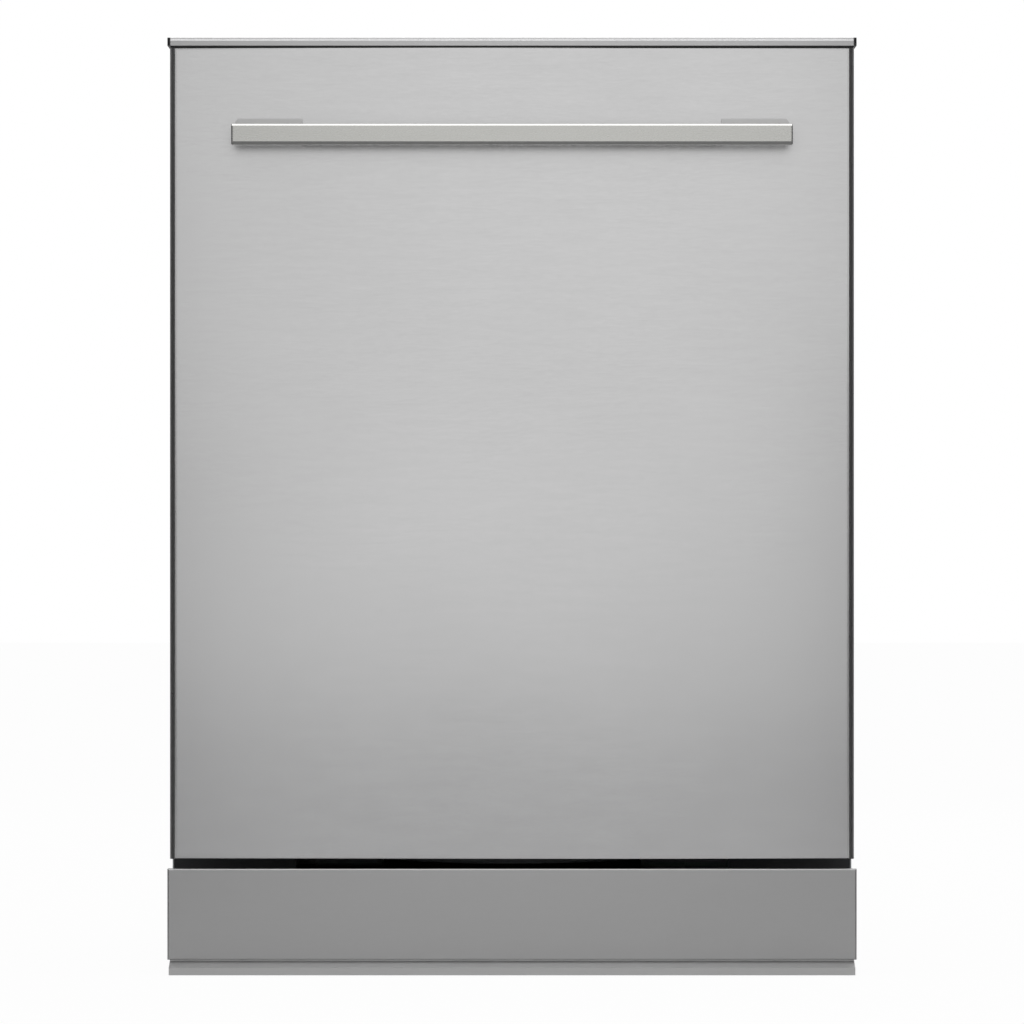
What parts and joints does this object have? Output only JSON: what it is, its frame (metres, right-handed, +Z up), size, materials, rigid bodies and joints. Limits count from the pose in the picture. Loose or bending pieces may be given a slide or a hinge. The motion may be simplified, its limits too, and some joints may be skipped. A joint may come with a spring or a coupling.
{
  "type": "built-in dishwasher",
  "caption": "Built-under dishwasher with a brushed steel drop-down door, bar handle, toe kick, sliding racks and spray arms.",
  "frame": {"origin": "on the floor under the middle of the machine's outer box, handle included", "axes": "+Z up, -Y towards the person at the door, +X to that person's right"},
  "size_m": [0.6, 0.62, 0.815],
  "materials": {
    "brushed_steel_door": "fine horizontal brushing",
    "tub_steel": "satin pressed stainless",
    "zinc_steel": "galvanised spangle",
    "hardware": "zinc plated",
    "dark_plastic": "fine moulded grain",
    "grey_plastic": "satin moulded",
    "blue_plastic": "gloss",
    "white_plastic": "satin moulded",
    "coated_wire": "nylon dip coat",
    "rubber_seal": "matte",
    "bitumen_mat": "matte pressed mat",
    "felt": "recycled fibre felt",
    "display_glass": "smoked gloss"
  },
  "bodies": {
    "cabinet": {"tub_shell": "tub_steel", "tub_front_frame": "tub_steel", "door_gasket": "rubber_seal", "sound_mat": "bitumen_mat", "left_side_panel": "zinc_steel", "right_side_panel": "zinc_steel", "worktop_brackets": "zinc_steel", "base_tray": "dark_plastic", "hinge_brackets": "zinc_steel", "hinge_pins": "hardware", "door_springs": "hardware", "toe_kick_panel": "brushed_steel_door", "toe_kick_floor_strip": "brushed_steel_door", "toe_kick_stays": "zinc_steel", "cabinet_screws": "hardware", "sump": "grey_plastic", "filter_plate": "tub_steel", "water_feed_duct": "grey_plastic", "circulation_pump": "white_plastic", "drain_pump": "white_plastic", "inlet_valve": "white_plastic", "junction_box": "white_plastic", "upper_outer_rails": "zinc_steel"},
    "door": {"door_outer_panel": "brushed_steel_door", "handle_bar": "brushed_steel_door", "handle_brackets": "brushed_steel_door", "door_screws": "hardware", "door_inner_liner": "tub_steel", "hinge_arms": "zinc_steel", "door_insulation": "felt", "control_cap": "brushed_steel_door", "control_panel": "dark_plastic", "display_window": "display_glass", "dispenser_housing": "grey_plastic"},
    "upper_rack": {"upper_rack": "coated_wire", "upper_inner_rails": "zinc_steel", "upper_feed_tube": "grey_plastic"},
    "rail_slides": {"upper_middle_rails": "zinc_steel"},
    "lower_rack": {"lower_rack": "coated_wire", "cutlery_basket": "grey_plastic"},
    "filter_cup": {"filter_cup": "grey_plastic"},
    "float_dome": {"float_dome": "grey_plastic"},
    "lower_spray_arm": {"lower_spray_arm": "grey_plastic"},
    "ceiling_spray_arm": {"ceiling_spray_arm": "grey_plastic"},
    "upper_spray_arm": {"upper_spray_arm": "grey_plastic"},
    "cup_shelf": {"cup_shelf": "coated_wire"},
    "folding_tines": {"folding_tines": "coated_wire"},
    "power_button": {"power_button": "dark_plastic"},
    "program_button": {"program_button": "dark_plastic"},
    "start_button": {"start_button": "dark_plastic"},
    "dispenser_lid": {"dispenser_lid": "grey_plastic"},
    "rinse_aid_cap": {"rinse_aid_cap": "blue_plastic"},
    "leg_front_left": {"leg_front_left": "dark_plastic"},
    "leg_front_right": {"leg_front_right": "dark_plastic"},
    "leg_rear_left": {"leg_rear_left": "dark_plastic"},
    "leg_rear_right": {"leg_rear_right": "dark_plastic"},
    "rack_wheel_front_left": {"rack_wheel_front_left": "grey_plastic"},
    "rack_wheel_front_right": {"rack_wheel_front_right": "grey_plastic"},
    "rack_wheel_rear_left": {"rack_wheel_rear_left": "grey_plastic"},
    "rack_wheel_rear_right": {"rack_wheel_rear_right": "grey_plastic"}
  },
  "joints": [
    {"name": "door_hinge", "type": "hinge", "parent": "cabinet", "child": "door", "pos_m": [0, -0.229, 0.135], "axis": [1, 0, 0], "range_deg": [0, 90], "stiffness_Nm_per_rad": 20, "deforming": ["door_springs"]},
    {"name": "upper_rack_slide", "type": "slide", "parent": "cabinet", "child": "upper_rack", "axis": [0, -1, 0], "range_m": [0, 0.43]},
    {"name": "rail_slide", "type": "slide", "parent": "cabinet", "child": "rail_slides", "axis": [0, -1, 0], "range_m": [0, 0.215]},
    {"name": "lower_rack_slide", "type": "slide", "parent": "cabinet", "child": "lower_rack", "axis": [0, -1, 0], "range_m": [0, 0.46]},
    {"name": "filter_twist", "type": "hinge", "parent": "cabinet", "child": "filter_cup", "pos_m": [0, -0.038, 0.16], "axis": [0, 0, 1], "range_deg": [0, 60]},
    {"name": "float_lift", "type": "slide", "parent": "cabinet", "child": "float_dome", "axis": [0, 0, 1], "range_m": [0, 0.006]},
    {"name": "lower_arm_spin", "type": "hinge", "parent": "cabinet", "child": "lower_spray_arm", "pos_m": [0, 0.048, 0.19], "axis": [0, 0, 1], "continuous": true},
    {"name": "ceiling_arm_spin", "type": "hinge", "parent": "cabinet", "child": "ceiling_spray_arm", "pos_m": [0, 0.048, 0.768], "axis": [0, 0, 1], "continuous": true},
    {"name": "upper_arm_spin", "type": "hinge", "parent": "upper_rack", "child": "upper_spray_arm", "pos_m": [0, 0.048, 0.4], "axis": [0, 0, 1], "continuous": true},
    {"name": "cup_shelf_fold", "type": "hinge", "parent": "upper_rack", "child": "cup_shelf", "pos_m": [-0.232, 0.04, 0.55], "axis": [0, -1, 0], "range_deg": [0, 80]},
    {"name": "tine_fold", "type": "hinge", "parent": "lower_rack", "child": "folding_tines", "pos_m": [0, 0.122, 0.224], "axis": [1, 0, 0], "range_deg": [0, 80]},
    {"name": "power_press", "type": "slide", "parent": "door", "child": "power_button", "axis": [0, 0, -1], "range_m": [0, 0.0008], "stiffness_N_per_m": 900, "springref_m": -0.0006},
    {"name": "program_press", "type": "slide", "parent": "door", "child": "program_button", "axis": [0, 0, -1], "range_m": [0, 0.0008], "stiffness_N_per_m": 900, "springref_m": -0.0006},
    {"name": "start_press", "type": "slide", "parent": "door", "child": "start_button", "axis": [0, 0, -1], "range_m": [0, 0.0008], "stiffness_N_per_m": 900, "springref_m": -0.0006},
    {"name": "lid_slide", "type": "slide", "parent": "door", "child": "dispenser_lid", "axis": [-1, 0, 0], "range_m": [0, 0.062]},
    {"name": "rinse_cap_twist", "type": "hinge", "parent": "door", "child": "rinse_aid_cap", "pos_m": [0.164, -0.2, 0.436], "axis": [0, 1, 0], "range_deg": [0, 90]},
    {"name": "leg_front_left_turn", "type": "hinge", "parent": "cabinet", "child": "leg_front_left", "pos_m": [-0.255, -0.1436, 0.02], "axis": [0, 0, 1], "continuous": true},
    {"name": "leg_front_right_turn", "type": "hinge", "parent": "cabinet", "child": "leg_front_right", "pos_m": [0.255, -0.1436, 0.02], "axis": [0, 0, 1], "continuous": true},
    {"name": "leg_rear_left_turn", "type": "hinge", "parent": "cabinet", "child": "leg_rear_left", "pos_m": [-0.255, 0.2455, 0.02], "axis": [0, 0, 1], "continuous": true},
    {"name": "leg_rear_right_turn", "type": "hinge", "parent": "cabinet", "child": "leg_rear_right", "pos_m": [0.255, 0.2455, 0.02], "axis": [0, 0, 1], "continuous": true},
    {"name": "wheel_front_left_roll", "type": "hinge", "parent": "lower_rack", "child": "rack_wheel_front_left", "pos_m": [-0.2545, -0.14, 0.1785], "axis": [1, 0, 0], "continuous": true},
    {"name": "wheel_front_right_roll", "type": "hinge", "parent": "lower_rack", "child": "rack_wheel_front_right", "pos_m": [0.2545, -0.14, 0.1785], "axis": [1, 0, 0], "continuous": true},
    {"name": "wheel_rear_left_roll", "type": "hinge", "parent": "lower_rack", "child": "rack_wheel_rear_left", "pos_m": [-0.2545, 0.2, 0.1785], "axis": [1, 0, 0], "continuous": true},
    {"name": "wheel_rear_right_roll", "type": "hinge", "parent": "lower_rack", "child": "rack_wheel_rear_right", "pos_m": [0.2545, 0.2, 0.1785], "axis": [1, 0, 0], "continuous": true}
  ],
  "couplings": [
    {"joint": "upper_rack_slide", "follows": "door_hinge", "m_per_rad": 0.2737},
    {"joint": "rail_slide", "follows": "door_hinge", "m_per_rad": 0.13685},
    {"joint": "lower_rack_slide", "follows": "door_hinge", "m_per_rad": 0.05}
  ]
}
